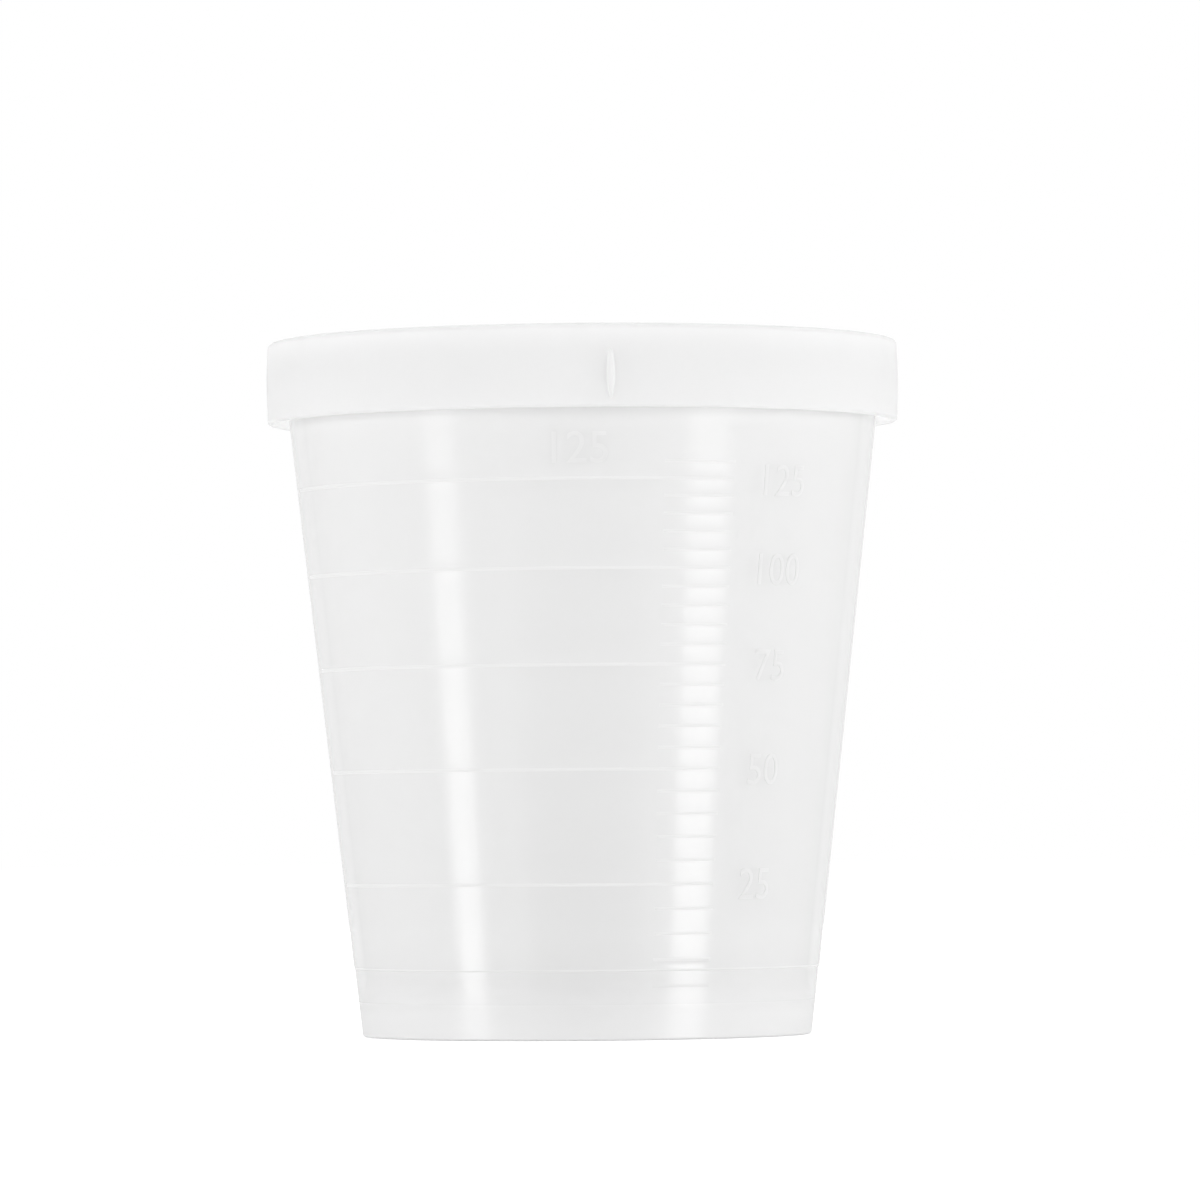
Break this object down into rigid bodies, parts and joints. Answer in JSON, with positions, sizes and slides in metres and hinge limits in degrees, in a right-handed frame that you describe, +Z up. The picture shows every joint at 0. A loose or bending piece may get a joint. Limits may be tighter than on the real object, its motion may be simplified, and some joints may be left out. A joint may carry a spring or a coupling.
{
  "type": "specimen container",
  "caption": "Tapered translucent plastic specimen cup with raised volume graduations, a beaded rim and a round push-on lid that lifts off.",
  "frame": {"origin": "centre of the cup's standing ring, on the surface that it stands on", "axes": "+Z up along the axis of the cup, through its mouth; -Y is the front, where the graduations are"},
  "size_m": [0.068, 0.0682, 0.0744],
  "materials": {
    "cup_plastic": "satin",
    "lid_plastic": "satin"
  },
  "bodies": {
    "cup": {"cup": "cup_plastic"},
    "lid": {"lid": "lid_plastic"}
  },
  "joints": [
    {"name": "lid_lift", "type": "slide", "parent": "cup", "child": "lid", "axis": [0, 0, 1], "range_m": [0, 0.02]}
  ]
}
